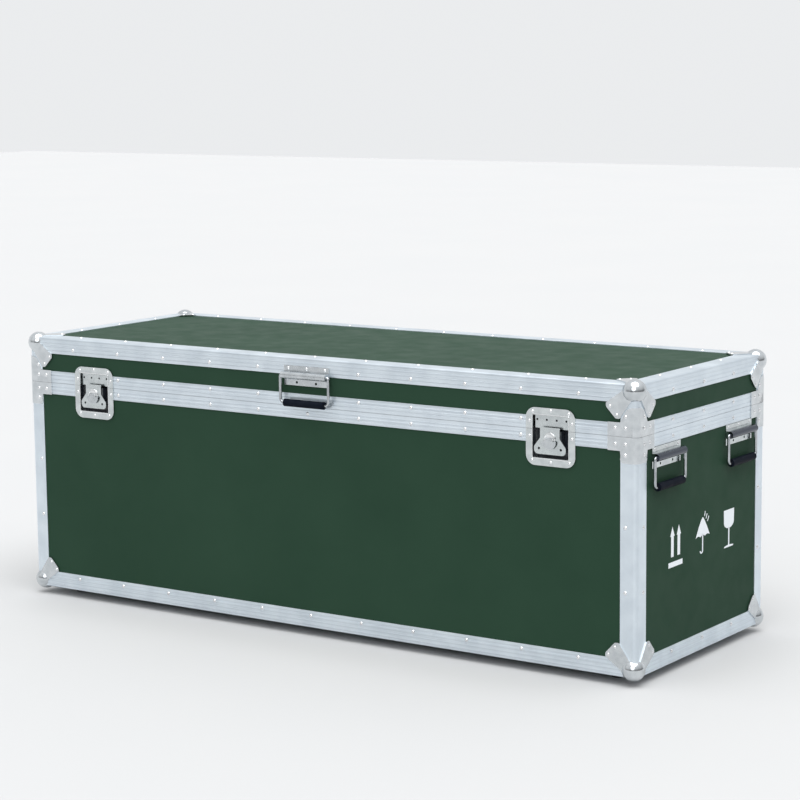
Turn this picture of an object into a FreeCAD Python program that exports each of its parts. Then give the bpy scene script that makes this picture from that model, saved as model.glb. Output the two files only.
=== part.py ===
"""Hinged transport case in aluminium-edged plywood: base, attached lid, latches and drop handles.

Frame: millimetres, +X to the right seen from the front, -Y towards the front, +Z up.
The origin is at the bottom centre of the whole object, on the floor under the rubber feet.
"""

import FreeCAD, Part
import math
import os
import re

from FreeCAD import Placement, Rotation, Vector

# Driving dimensions: alias, value, what it is
DIMENSIONS = [
    ("case_length", 1260.0, "overall length over the edge extrusions"),
    ("case_depth", 442.0, "overall depth over the edge extrusions"),
    ("case_height", 463.5, "height of the closed box without its feet"),
    ("seam_level", 381.0, "height of the lid seam above the underside of the box"),
    ("foot_height", 15.0, "height of a rubber foot"),
    ("body_shift", 1.75, "y of the case's middle: half of front reach less back reach"),
    ("skin", 1.6, "wall thickness of every aluminium extrusion"),
    ("ply", 9.0, "thickness of the plywood panels"),
    ("lining", 6.0, "thickness of the foam lining"),
    ("edge_leg", 29.5, "leg of an edge extrusion on the upright faces"),
    ("edge_flat_leg", 32.0, "leg of an edge extrusion on the top and bottom faces"),
    ("edge_round", 3.0, "outer radius of an edge extrusion"),
    ("post_leg", 30.0, "leg of an upright corner extrusion"),
    ("post_round", 8.0, "outer radius of an upright corner extrusion"),
    ("rib_groove_width", 1.6, "width of a groove between the ribs"),
    ("rib_groove_depth", 0.55, "depth of a groove between the ribs"),
    ("rim_leg", 21.0, "visible leg of the tongue and groove rims"),
    ("rim_inner_leg", 14.0, "inner leg of the rims"),
    ("rim_web", 2.0, "web of the tongue rim over the plywood edge"),
    ("groove_web", 5.4, "web of the groove rim over the plywood edge"),
    ("seam_gap", 0.4, "gap between the two rims when closed"),
    ("tongue_width", 2.4, "thickness of the tongue"),
    ("tongue_height", 3.0, "height of the tongue"),
    ("groove_width", 3.4, "width of the groove"),
    ("groove_depth", 3.4, "depth of the groove"),
    ("rim_end", 10.8, "distance of a long rim's end from the corner"),
    ("ball_radius", 19.0, "radius of a ball corner"),
    ("ball_inset", 12.0, "ball centre behind each of its three faces"),
    ("flange_sheet", 1.5, "sheet thickness of ball corners"),
    ("brace_sheet", 1.2, "sheet thickness of the seam corner braces"),
    ("brace_reach", 52.0, "reach of a brace along each face"),
    ("rivet_pitch", 105.0, "rivet pitch along the extrusions"),
    ("rivet_head", 3.3, "radius of a rivet head"),
    ("rivet_rise", 1.5, "height of a rivet head"),
    ("rivet_shank", 2.0, "radius of a rivet shank"),
    ("rivet_grip", 7.0, "length of a rivet shank"),
    ("edge_rivet_line", 21.0, "rivet line of an edge extrusion from its corner"),
    ("flat_rivet_line", 24.0, "rivet line on the top and bottom faces"),
    ("latch_offset", 475.5, "x of a latch from the middle of the case"),
    ("dish_half_width", 45.0, "half width of a latch dish"),
    ("dish_below", 58.0, "dish edge below the seam"),
    ("dish_above", 34.5, "dish edge above the seam"),
    ("dish_corner", 17.0, "corner radius of a latch dish"),
    ("dish_sheet", 1.2, "sheet thickness of a latch dish"),
    ("pan_half_width", 32.5, "half width of the pan in a dish"),
    ("pan_below", 45.5, "pan floor edge below the seam"),
    ("pan_above", 22.6, "pan floor edge above the seam"),
    ("pan_depth", 14.0, "depth of the pan behind the case face"),
    ("knob_below", 14.0, "axis of the latch knob below the seam"),
    ("dish_clear", 1.4, "clearance round a pan in the wall's opening"),
    ("cover_proud", 3.0, "front of the latch cover before the case face"),
    ("cover_sheet", 1.5, "sheet thickness of the latch cover"),
    ("keeper_depth", 3.2, "front of the keeper plate behind the case face"),
    ("keeper_half_width", 30.0, "half width of the keeper plate"),
    ("strike_sheet", 1.4, "sheet thickness of the keeper and strike"),
    ("hook_half_width", 12.0, "half width of the latch hook"),
    ("hook_sheet", 1.5, "thickness of the latch hook"),
    ("hook_depth", 7.8, "front of the released hook behind the case face"),
    ("hook_drop", 5.2, "downward part of the hook's travel"),
    ("hook_pull", 2.1, "inward part of the hook's travel"),
    ("crank", 2.6, "eccentricity of the latch crank pin"),
    ("crank_pin", 2.2, "radius of the latch crank pin"),
    ("cam_radius", 10.5, "radius of the latch cam in its cover"),
    ("running_gap", 0.06, "radial clearance of a turning fit"),
    ("wing_axle", 1.2, "radius of the wing's axle"),
    ("handle_half_width", 46.5, "half width of a handle plate and its barrel"),
    ("handle_above", 15.8, "handle plate above the barrel axis"),
    ("handle_below", 17.7, "handle plate below the barrel axis"),
    ("handle_stand", 8.0, "barrel axis in front of the face it is riveted to"),
    ("handle_sheet", 1.5, "sheet thickness of a handle plate"),
    ("barrel_radius", 6.2, "outer radius of a handle barrel"),
    ("bail_wire", 2.6, "radius of the bail wire"),
    ("bail_half_width", 50.0, "half distance between the bail's arms"),
    ("bail_drop", 47.0, "grip axis below the barrel axis"),
    ("bail_bend", 7.0, "bend radius of the bail wire"),
    ("grip_radius", 6.5, "radius of the rubber grip"),
    ("grip_half_length", 41.0, "half length of the rubber grip"),
    ("front_handle_level", 433.7, "barrel axis of the front handle above the box underside"),
    ("side_handle_level", 343.5, "barrel axis of the side handles above the box underside"),
    ("side_handle_offset", 126.0, "side handles from the middle of the case depth"),
    ("hinge_stand", 6.0, "hinge axis behind the back face"),
    ("hinge_knuckle", 5.0, "outer radius of a hinge knuckle"),
    ("hinge_pin", 2.5, "radius of a hinge pin"),
    ("hinge_half_width", 32.0, "half width of a hinge"),
    ("hinge_leaf", 19.5, "height of a hinge leaf from its axis"),
    ("hinge_offset", 420.0, "x of the outer hinges"),
    ("foot_radius", 11.0, "radius of a rubber foot"),
    ("foot_inset_x", 62.0, "foot centre from the end of the case"),
    ("foot_inset_y", 54.0, "foot centre from the front or back of the case"),
]

doc = FreeCAD.newDocument("transport_case")
sheet = doc.addObject("Spreadsheet::Sheet", "dim")
for row, (alias, value, note) in enumerate(DIMENSIONS, start=1):
    sheet.set(f"A{row}", alias)
    sheet.set(f"B{row}", str(value))
    sheet.set(f"C{row}", note)
    sheet.setAlias(f"B{row}", alias)
doc.recompute()
NUMBER = {alias: value for alias, value, note in DIMENSIONS}

# Planes of the closed case, as expressions of the sheet
RIGHT = "case_length/2"
FRONT = "(body_shift - case_depth/2)"
BACK = "(body_shift + case_depth/2)"
UNDER = "foot_height"
OVER = "(foot_height + case_height)"
SEAM = "(foot_height + seam_level)"

TURN = {
    "x": Rotation(Vector(0, 1, 0), 90),
    "y": Rotation(Vector(1, 0, 0), -90),
    "z": Rotation(),
}
nodes = []


def bind(text):
    """An expression text with each alias read from the sheet."""
    return re.sub(r"[a-z_]+", lambda word: f"dim.{word[0]}" if word[0] in NUMBER else word[0], str(text))


def number(text):
    """The value of an expression, for sketches and groups that are placed by code."""
    plain = re.sub(r"[a-z_]+", lambda word: repr(NUMBER[word[0]]), str(text))
    return FreeCAD.Units.parseQuantity(plain).Value


def node(thing, name):
    """Registers a finished sub-part under its name."""
    thing.Label = name
    nodes.append(thing)
    return thing


# ---------------------------------------------------------------- primitives and booleans


def place(thing, x=0, y=0, z=0):
    for axis, text in zip("xyz", (x, y, z)):
        thing.setExpression(f"Placement.Base.{axis}", bind(text))
    return thing


def box(name, x, y, z):
    """A block from (low, high) pairs of expressions."""
    block = doc.addObject("Part::Box", name)
    for size, (low, high) in zip(("Length", "Width", "Height"), (x, y, z)):
        block.setExpression(size, bind(f"({high}) - ({low})"))
    return place(block, x[0], y[0], z[0])


def rod(name, axis, radius, span, at):
    """A cylinder along an axis over span=(low, high), at the two other coordinates."""
    pin = doc.addObject("Part::Cylinder", name)
    pin.Placement = Placement(Vector(), TURN[axis])
    pin.setExpression("Radius", bind(radius))
    pin.setExpression("Height", bind(f"({span[1]}) - ({span[0]})"))
    centre = list(at)
    centre.insert("xyz".index(axis), span[0])
    return place(pin, *centre)


def ball(name, radius, x, y, z):
    sphere = doc.addObject("Part::Sphere", name)
    sphere.setExpression("Radius", bind(radius))
    return place(sphere, x, y, z)


def fuse(name, *things):
    if len(things) == 1:
        return things[0]
    union = doc.addObject("Part::MultiFuse", name)
    union.Shapes = list(things)
    return union


def cut(name, base, *tools):
    rest = doc.addObject("Part::Cut", name)
    rest.Base = base
    rest.Tool = fuse(name + "_tools", *tools)
    return rest


def common(name, first, second):
    shared = doc.addObject("Part::Common", name)
    shared.Base = first
    shared.Tool = second
    return shared


def group(name, *things):
    bundle = doc.addObject("Part::Compound", name)
    bundle.Links = list(things)
    return bundle


def mirror(name, source, normal):
    """A mirror image across the case's middle plane, normal to X, or to Y."""
    image = doc.addObject("Part::Mirroring", name)
    image.Source = source
    image.Normal = Vector(*normal)
    image.Base = Vector(0, NUMBER["body_shift"], 0)
    return image


def flip_x(name, source):
    return mirror(name, source, (1, 0, 0))


def flip_y(name, source):
    return mirror(name, source, (0, 1, 0))


def four_corners(name, source):
    """The piece at one corner and its three mirror images, as one group."""
    left = flip_x(name + "_left", source)
    return group(name, source, left, flip_y(name + "_back", source), flip_y(name + "_back_left", left))


# ---------------------------------------------------------------- sketches and bodies


def outline(corners):
    """Lines and arcs round a closed outline; a corner is (x, y) or (x, y, radius)."""
    count = len(corners)
    starts, ends, bends = [], [], []
    for index, corner in enumerate(corners):
        point = Vector(corner[0], corner[1], 0)
        radius = corner[2] if len(corner) > 2 else 0.0
        if radius == 0.0:
            starts.append(point)
            ends.append(point)
            bends.append(None)
            continue
        before = Vector(*corners[index - 1][:2], 0) - point
        after = Vector(*corners[(index + 1) % count][:2], 0) - point
        half = before.getAngle(after) / 2
        before.normalize()
        after.normalize()
        reach = radius / math.tan(half)
        bisector = before + after
        bisector.normalize()
        centre = point + bisector * (radius / math.sin(half))
        starts.append(point + before * reach)
        ends.append(point + after * reach)
        bends.append(centre - bisector * radius)
    pieces = []
    for index in range(count):
        if bends[index] is not None:
            pieces.append(Part.Arc(starts[index], bends[index], ends[index]))
        following = starts[(index + 1) % count]
        if ends[index].distanceToPoint(following) > 1e-6:
            pieces.append(Part.LineSegment(ends[index], following))
    return pieces


def circle(x, y, radius):
    return [Part.Circle(Vector(x, y, 0), Vector(0, 0, 1), radius)]


def new_body(name):
    return doc.addObject("PartDesign::Body", name)


def sketch(body, name, role, *loops, offset=0.0):
    """A sketch of closed loops on one of the body's own origin planes."""
    drawing = body.newObject("Sketcher::SketchObject", name)
    plane = next(one for one in body.Origin.OriginFeatures if one.Role == role)
    drawing.AttachmentSupport = (plane, [""])
    drawing.MapMode = "FlatFace"
    drawing.AttachmentOffset = Placement(Vector(0, 0, offset), Rotation())
    for loop in loops:
        drawing.addGeometry(loop, False)
    drawing.Visibility = False
    return drawing


def pad(body, drawing, length, both_ways=False, reverse=False):
    feature = body.newObject("PartDesign::Pad", drawing.Name + "_pad")
    feature.Profile = drawing
    feature.setExpression("Length", bind(length))
    feature.Midplane = both_ways
    feature.Reversed = reverse
    doc.recompute()
    return feature


def pocket(body, drawing):
    """Cuts the sketch through the whole body, both ways."""
    before = body.Shape.Volume
    feature = body.newObject("PartDesign::Pocket", drawing.Name + "_pocket")
    feature.Profile = drawing
    feature.Type = 1
    feature.Midplane = True
    doc.recompute()
    if not body.Shape.Volume < before - 1e-3:
        raise RuntimeError(f"{drawing.Name} cuts nothing")
    return feature


# ---------------------------------------------------------------- extrusions


def grooves(places, low_first):
    """Grooves across a leg that lies on the y = 0 side, as corners of its outline."""
    half = NUMBER["rib_groove_width"] / 2
    depth = NUMBER["rib_groove_depth"]
    corners = []
    for level in sorted(places, reverse=not low_first):
        first, last = (level - half, level + half) if low_first else (level + half, level - half)
        corners += [(0, first), (depth, first), (depth, last), (0, last)]
    return corners


def edge_section():
    """Angle section: corner at the origin, legs along +x and +y of the sketch."""
    skin, upright, flat = NUMBER["skin"], NUMBER["edge_leg"], NUMBER["edge_flat_leg"]
    ribs = [upright * share for share in (0.24, 0.5, 0.76)]
    return outline(
        [(0, upright, 0.5)]
        + grooves(ribs, low_first=False)
        + [(0, 0, NUMBER["edge_round"]), (flat, 0, 0.5), (flat, skin), (skin, skin), (skin, upright)]
    )


def tongue_section():
    """Base rim: a channel open downwards over the plywood, with the tongue on top."""
    skin, inner = NUMBER["skin"], NUMBER["skin"] + NUMBER["ply"]
    leg, inner_leg, web = NUMBER["rim_leg"], NUMBER["rim_inner_leg"], NUMBER["rim_web"]
    middle, half = inner / 2 + skin / 2, NUMBER["tongue_width"] / 2
    ribs = [-leg * share for share in (0.36, 0.74)]
    return outline(
        [(0, -leg, 0.5)]
        + grooves(ribs, low_first=True)
        + [(0, 0), (middle - half, 0), (middle - half, NUMBER["tongue_height"], 0.8)]
        + [(middle + half, NUMBER["tongue_height"], 0.8), (middle + half, 0), (inner + skin, 0)]
        + [(inner + skin, -inner_leg), (inner, -inner_leg), (inner, -web), (skin, -web), (skin, -leg)]
    )


def groove_section():
    """Lid rim: a channel open upwards under the plywood, with the groove in its web."""
    skin, inner = NUMBER["skin"], NUMBER["skin"] + NUMBER["ply"]
    leg, inner_leg, web = NUMBER["rim_leg"], NUMBER["rim_inner_leg"], NUMBER["groove_web"]
    middle, half = inner / 2 + skin / 2, NUMBER["groove_width"] / 2
    ribs = [leg * share for share in (0.30, 0.68)]
    return outline(
        [(0, leg, 0.5)]
        + grooves(ribs, low_first=False)
        + [(0, 0), (middle - half, 0), (middle - half, NUMBER["groove_depth"])]
        + [(middle + half, NUMBER["groove_depth"]), (middle + half, 0), (inner + skin, 0)]
        + [(inner + skin, inner_leg), (inner, inner_leg), (inner, web), (skin, web), (skin, leg)]
    )


def bar(name, section, length):
    """An extrusion along X, its section's corner on the X axis."""
    body = new_body(name)
    pad(body, sketch(body, name + "_section", "YZ_Plane", section), length, both_ways=True)
    return body


def mitre(name, length):
    """Two wedges that cut an edge extrusion's ends at 45 degrees on both of its faces."""
    far = 80.0
    half = number(length) / 2
    wedges = []
    for role in ("XZ_Plane", "XY_Plane"):
        for side in (-1, 1):
            body = new_body(f"{name}_wedge")
            loop = outline([(side * (half + 1), -1), (side * (half - far), far), (side * (half + far), far)])
            pad(body, sketch(body, f"{name}_wedge_sketch", role, loop), 4 * far, both_ways=True)
            wedges.append(body)
    return wedges


def edge_bar(name, length):
    """An edge extrusion with mitred ends that stop at the ball corners, corner line on the X axis."""
    inset, radius = "ball_inset", "ball_radius + 0.15"
    balls = [
        ball(f"{name}_ball", radius, f"{side}(({length})/2 - {inset})", inset, inset) for side in ("-", "+")
    ]
    blank = bar(name + "_bar", edge_section(), f"{length} - 2*{inset}")
    return cut(name + "_mitred", blank, *mitre(name, length), *balls)


def stand(thing, quarter_turns, x, y, z, overturn=False):
    """Puts a piece drawn along X on a face: turned about Z, and head over if it is upside down."""
    turn = Rotation(Vector(0, 0, 1), 90 * quarter_turns)
    if overturn:
        turn = turn.multiply(Rotation(Vector(0, 1, 0), 180))
    thing.Placement = Placement(Vector(), turn)
    return place(thing, x, y, z)


def edge_set(name, level, overturn):
    """The two long and the two short edge extrusions at the top or the bottom."""
    long_front = stand(edge_bar(name + "_long_front", "case_length"), 0, 0, FRONT, level, overturn)
    bar_right = edge_bar(name + "_short_right", "case_depth")
    short_right = stand(bar_right, 1, RIGHT, "body_shift", level, overturn)
    node(group(name + "_long_pair", long_front, flip_y(name + "_long_back", long_front)), name + "s_long")
    short_left = flip_x(name + "_short_left", short_right)
    node(group(name + "_short_pair", short_right, short_left), name + "s_short")


def rim_set(name, section, level, openings):
    """The two long and the two short rims, the front one interrupted by the latch dishes."""
    long_length = "case_length - 2*rim_end"
    short_length = "case_depth - 2*(2*skin + ply + 0.1)"
    front = place(bar(name + "_long_front", section(), long_length), 0, FRONT, level)
    rear = place(bar(name + "_long_rear", section(), long_length), 0, FRONT, level)
    back = flip_y(name + "_long_back", rear)
    right = stand(bar(name + "_short_right", section(), short_length), 1, RIGHT, "body_shift", level)
    node(group(name + "_long_pair", cut(name + "_front_cut", front, *openings), back), name + "s_long")
    node(group(name + "_short_pair", right, flip_x(name + "_short_left", right)), name + "s_short")


# ---------------------------------------------------------------- panels and lining


def rounded_panel(name, x, y, z):
    """A front or back panel with its outer upright edges rounded to fit in the corner posts."""
    blank = box(name + "_blank", x, y, z)
    doc.recompute()
    outer_y = min if number(y[0]) < 0 else max
    face_y = outer_y(vertex.Y for vertex in blank.Shape.Vertexes)
    radius = NUMBER["post_round"] - NUMBER["skin"]
    rounds = []
    for index, edge in enumerate(blank.Shape.Edges, start=1):
        upright = abs(edge.Vertexes[0].X - edge.Vertexes[1].X) < 1e-6
        upright = upright and abs(edge.Vertexes[0].Y - edge.Vertexes[1].Y) < 1e-6
        if upright and abs(edge.Vertexes[0].Y - face_y) < 1e-6:
            rounds.append((index, radius, radius))
    panel = doc.addObject("Part::Fillet", name + "_rounded")
    panel.Base = blank
    panel.Edges = rounds
    return panel


def latch_openings(name, low, high):
    """The two holes that the latch pans need through the front wall."""
    half = "(pan_half_width + dish_clear)"
    return [
        box(
            f"{name}_latch_{side}",
            (f"{sign}latch_offset - {half}", f"{sign}latch_offset + {half}"),
            (f"{FRONT} - 3", f"{FRONT} + 30"),
            (low, high),
        )
        for side, sign in (("left", "-"), ("right", "+"))
    ]


def stretches_of(name, panel):
    """A front panel divided at the sides of its latch openings, so that every stretch is convex."""
    half = "(pan_half_width + dish_clear)"
    edges = [f"-{RIGHT}", f"-latch_offset - {half}", f"-latch_offset + {half}"]
    edges += [f"latch_offset - {half}", f"latch_offset + {half}", RIGHT]
    stretches = []
    for span in zip(edges, edges[1:]):
        slab = box(name + "_slab", span, (FRONT, f"{FRONT} + 30"), (UNDER, OVER))
        stretches.append(common(name + "_stretch", panel, slab))
    return group(name + "_stretches", *stretches)


def walls(name, low, high, openings):
    """Front, back, left and right panels of the base or the lid."""
    ends = (f"skin - {RIGHT}", f"{RIGHT} - skin")
    between = (f"{FRONT} + skin + ply", f"{BACK} - skin - ply")
    front = rounded_panel(name + "_front", ends, (f"{FRONT} + skin", f"{FRONT} + skin + ply"), (low, high))
    back = rounded_panel(name + "_back", ends, (f"{BACK} - skin - ply", f"{BACK} - skin"), (low, high))
    open_front = cut(name + "_front_cut", front, *openings)
    node(stretches_of(name + "_front", open_front), name + "_front_panel")
    node(back, name + "_back_panel")
    left = box(name + "_left", (f"skin - {RIGHT}", f"skin + ply - {RIGHT}"), between, (low, high))
    right = box(name + "_right", (f"{RIGHT} - skin - ply", f"{RIGHT} - skin"), between, (low, high))
    node(left, name + "_left_panel")
    node(right, name + "_right_panel")


def deck(name, low, high):
    """The floor or the top panel, between the four walls."""
    x = (f"skin + ply - {RIGHT}", f"{RIGHT} - skin - ply")
    y = (f"{FRONT} + skin + ply", f"{BACK} - skin - ply")
    return node(box(name, x, y, (low, high)), name)


def foam(name, sheet_span, wall_span, pan_span, clear_span):
    """Foam sheets glued inside the plywood; the front one leaves room for the latch pans.

    Each span is (low, high): the floor or roof sheet, the walls, and the front wall's parts with
    and without the pans.
    """
    x = (f"skin + ply - {RIGHT}", f"{RIGHT} - skin - ply")
    y = (f"{FRONT} + skin + ply", f"{BACK} - skin - ply")
    front_y, back_y = (y[0], f"{y[0]} + lining"), (f"{y[1]} - lining", y[1])
    side_y = (front_y[1], back_y[0])
    gap = "(pan_half_width + dish_clear)"
    stretches = [
        (x[0], f"-latch_offset - {gap}"),
        (f"-latch_offset + {gap}", f"latch_offset - {gap}"),
        (f"latch_offset + {gap}", x[1]),
    ]
    sheets = [
        box(name + "_flat", x, y, sheet_span),
        box(name + "_back", x, back_y, wall_span),
        box(name + "_left", (x[0], f"{x[0]} + lining"), side_y, wall_span),
        box(name + "_right", (f"{x[1]} - lining", x[1]), side_y, wall_span),
        box(name + "_front", x, front_y, clear_span),
    ]
    sheets += [box(name + "_beside_latch", stretch, front_y, pan_span) for stretch in stretches]
    return node(group(name + "_sheets", *sheets), name)


# ---------------------------------------------------------------- corners


def corner_post(name, height):
    """Upright angle with a large outer radius, for the front right corner, standing on the origin.

    Its foot is mitred against the edge extrusions and hollowed for the ball corner.
    """
    skin, leg, bend = NUMBER["skin"], NUMBER["post_leg"], NUMBER["post_round"]
    body = new_body(name)
    section = outline(
        [(0, 0, bend), (0, leg, 0.5), (-skin, leg), (-skin, skin, bend - skin), (-leg, skin), (-leg, 0, 0.5)]
    )
    pad(body, sketch(body, name + "_section", "XY_Plane", section), height)
    far, gap = 80.0, 0.1
    wedges = []
    for role, side in (("XZ_Plane", -1), ("YZ_Plane", 1)):
        wedge = new_body(name + "_wedge")
        loop = outline([(side * -1, -1 + gap), (side * far, -1 + gap), (side * far, far + gap)])
        pad(wedge, sketch(wedge, name + "_wedge_sketch", role, loop), 4 * far, both_ways=True)
        wedges.append(wedge)
    hollow = ball(name + "_ball", "ball_radius + 0.15", "-ball_inset", "ball_inset", "ball_inset")
    return cut(name + "_cut", body, *wedges, hollow)


def raised(name, lower):
    """The mirror image in height of a piece drawn for the underside: the same piece under the top."""
    upper = doc.addObject("Part::Mirroring", name)
    upper.Source = lower
    upper.Normal = Vector(0, 0, 1)
    upper.Base = Vector(0, 0, number(OVER) / 2)
    return upper


def flange_loop(side):
    """Outline of a ball corner's flange: a kite about the diagonal of its face."""
    near, narrow, far, wide, cropped = 24.0, 9.0, 55.0, 31.0, 38.0
    corners = [(2, 2), (near, narrow), (far, wide, 3), (far - 0.5, cropped - 1, 4)]
    corners += [(cropped, far - 0.5, 4), (wide, far, 3), (narrow, near)]
    return outline([(side * corner[0], *corner[1:]) for corner in corners])


def ball_corner(name):
    """Stamped ball corner at the front right bottom corner of a box whose corner is the origin."""
    sphere = ball(name + "_sphere", "ball_radius", "-ball_inset", "ball_inset", "ball_inset")
    flanges = []
    for role, side, reverse in (("XZ_Plane", -1, False), ("YZ_Plane", 1, False), ("XY_Plane", -1, True)):
        body = new_body(f"{name}_flange")
        drawing = sketch(body, f"{name}_flange_sketch", role, flange_loop(side))
        pad(body, drawing, "flange_sheet", reverse=reverse)
        flanges.append(body)
    inside = box(name + "_inside", ("-100", "-skin"), ("skin", "100"), ("skin", "100"))
    return cut(name + "_cut", fuse(name + "_fused", sphere, *flanges), inside)


def seam_brace(name, rise, shoulder, peak, waist):
    """Bent plate round the front right corner, from the seam plane upwards."""
    sheet_thickness, reach, bend = NUMBER["brace_sheet"], NUMBER["brace_reach"], NUMBER["post_round"]
    body = new_body(name)
    section = outline(
        [
            (sheet_thickness, -sheet_thickness, bend + sheet_thickness),
            (sheet_thickness, reach),
            (0, reach),
            (0, 0, bend),
            (-reach, 0),
            (-reach, -sheet_thickness),
        ]
    )
    pad(body, sketch(body, name + "_section", "XY_Plane", section), str(rise))
    for role, side in (("XZ_Plane", -1), ("YZ_Plane", 1)):
        corners = [(NUMBER["post_leg"], shoulder, 1.5), (80, shoulder), (80, rise + 20), (peak[0], rise + 20)]
        corners += [(peak[0], rise), (peak[1], rise - 4, 6), (waist, shoulder + 9, 4)]
        loop = outline([(side * corner[0], *corner[1:]) for corner in corners])
        pocket(body, sketch(body, f"{name}_{role}_shape", role, loop))
    return body


# ---------------------------------------------------------------- latches


def dish(name, sign):
    """A whole latch dish, rim and pan, before it is divided at the seam."""
    centre = f"{sign}latch_offset"
    half, below, above = NUMBER["dish_half_width"], NUMBER["dish_below"], NUMBER["dish_above"]
    bend = NUMBER["dish_corner"]
    body = new_body(name + "_rim")
    loop = outline([(-half, -below, bend), (half, -below, bend), (half, above, bend), (-half, above, bend)])
    pad(body, sketch(body, name + "_rim_sketch", "XZ_Plane", loop), "dish_sheet")
    place(body, centre, FRONT, SEAM)
    grow = "dish_sheet"
    pan = box(
        name + "_pan",
        (f"{centre} - pan_half_width - {grow}", f"{centre} + pan_half_width + {grow}"),
        (FRONT, f"{FRONT} + pan_depth + {grow}"),
        (f"{SEAM} - pan_below - {grow}", f"{SEAM} + pan_above + {grow}"),
    )
    hollow = box(
        name + "_hollow",
        (f"{centre} - pan_half_width", f"{centre} + pan_half_width"),
        (f"{FRONT} - 5", f"{FRONT} + pan_depth"),
        (f"{SEAM} - pan_below", f"{SEAM} + pan_above"),
    )
    return cut(name + "_whole", fuse(name + "_fused", body, pan), hollow)


def halves(name, whole, sign):
    """Divides a dish at the seam gap: registers the base's half and returns the lid's."""
    x = (f"{sign}latch_offset - 60", f"{sign}latch_offset + 60")
    y = (f"{FRONT} - 10", f"{FRONT} + 30")
    lower = box(name + "_lower", x, y, (f"{SEAM} - 90", f"{SEAM} - seam_gap/2"))
    upper = box(name + "_upper", x, y, (f"{SEAM} + seam_gap/2", f"{SEAM} + 90"))
    node(common(name + "_base", whole, lower), f"latch_dish_{name}")
    return common(name + "_lid", whole, upper)


def latch_cover(name, sign):
    """Cover that carries the cam, on two cheeks and two hollow spacers."""
    centre, knob = f"{sign}latch_offset", -NUMBER["knob_below"]
    body = new_body(f"{name}_cover")
    top, shoulder, ear, foot_line = 4.0, -13.0, -27.0, -39.0
    neck, wide = 17.7, 28.8
    loop = outline(
        [(-neck, top, 2), (-neck, shoulder, 4), (-wide, ear, 3), (-wide, foot_line, 7), (wide, foot_line, 7)]
        + [(wide, ear, 3), (neck, shoulder, 4), (neck, top, 2)]
    )
    bore = circle(0, knob, NUMBER["cam_radius"] + NUMBER["running_gap"])
    sheet_back = NUMBER["cover_proud"] - NUMBER["cover_sheet"]
    pad(body, sketch(body, f"{name}_cover_sketch", "XZ_Plane", loop, bore, offset=sheet_back), "cover_sheet")
    place(body, centre, FRONT, SEAM)
    depth = (f"{FRONT} - cover_proud + cover_sheet", f"{FRONT} + pan_depth")
    pieces, bores = [body], []
    for side in ("-", "+"):
        outer, inner = f"{centre} {side} 17.7", f"{centre} {side} 16.2"
        x = (outer, inner) if side == "-" else (inner, outer)
        pieces.append(box(f"{name}_cheek", x, depth, (f"{SEAM} - 24", f"{SEAM} - 2")))
        eyelet = (f"{centre} {side} 20", f"{SEAM} - 30")
        pieces.append(rod(f"{name}_spacer", "y", 4, depth, eyelet))
        bore_depth = (f"{FRONT} - cover_proud - 1", f"{FRONT} - cover_proud + 6")
        bores.append(rod(f"{name}_eyelet", "y", 2.1, bore_depth, eyelet))
    node(cut(f"{name}_cover_bored", fuse(f"{name}_cover_fused", *pieces), *bores), f"latch_cover_{name}")


def latch_hook(name, sign):
    """Sliding hook, drawn released: its tip stands clear above and in front of the strike's ledge."""
    centre = f"{sign}latch_offset"
    middle = f"{SEAM} - knob_below + crank"
    slot_low, slot_high = f"({middle} - crank_pin - 0.7)", f"({middle} + crank_pin + 0.7)"
    slot_half = "(crank + crank_pin + 0.4)"
    left, right = f"{centre} - hook_half_width", f"{centre} + hook_half_width"
    sheet_back = f"{FRONT} + hook_depth + hook_sheet"
    depth = (f"{FRONT} + hook_depth", sheet_back)
    bottom, top = f"{SEAM} - 26", f"{SEAM} + 10.8"
    bars = [
        box(f"{name}_hook_low", (left, right), depth, (bottom, slot_low)),
        box(f"{name}_hook_left", (left, f"{centre} - {slot_half}"), depth, (slot_low, slot_high)),
        box(f"{name}_hook_right", (f"{centre} + {slot_half}", right), depth, (slot_low, slot_high)),
        box(f"{name}_hook_high", (left, right), depth, (slot_high, top)),
        box(f"{name}_tip", (left, right), (sheet_back, f"{sheet_back} + 2"), (f"{top} - 2", top)),
    ]
    node(group(f"{name}_hook_parts", *bars), f"latch_hook_{name}")


def latch_cam(name, sign):
    """Turning cam: disc in the cover, inner flange, crank pin and the wing's axle on two lugs."""
    centre, knob = f"{sign}latch_offset", f"{SEAM} - knob_below"
    face, crank = f"{FRONT} - cover_proud", f"{SEAM} - knob_below + crank"
    pieces = [
        rod(f"{name}_disc", "y", "cam_radius", (f"{face} - 0.8", f"{face} + 1.6"), (centre, knob)),
        rod(f"{name}_flange", "y", "cam_radius + 2", (f"{face} + 1.56", f"{face} + 2.4"), (centre, knob)),
        rod(f"{name}_crank", "y", "crank_pin", (f"{face} + 2", f"{FRONT} + 12.4"), (centre, crank)),
        rod(f"{name}_axle", "x", "wing_axle", (f"{centre} - 8", f"{centre} + 8"), (f"{face} - 2.9", knob)),
    ]
    for side, (low, high) in (("left", ("-8", "-6.5")), ("right", ("+6.5", "+8"))):
        x = (f"{centre} {low}", f"{centre} {high}")
        y = (f"{face} - 4.7", f"{face} - 0.6")
        pieces.append(box(f"{name}_lug_{side}", x, y, (f"{knob} - 1.9", f"{knob} + 1.9")))
    node(fuse(f"{name}_cam_fused", *pieces), f"latch_cam_{name}")


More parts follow.
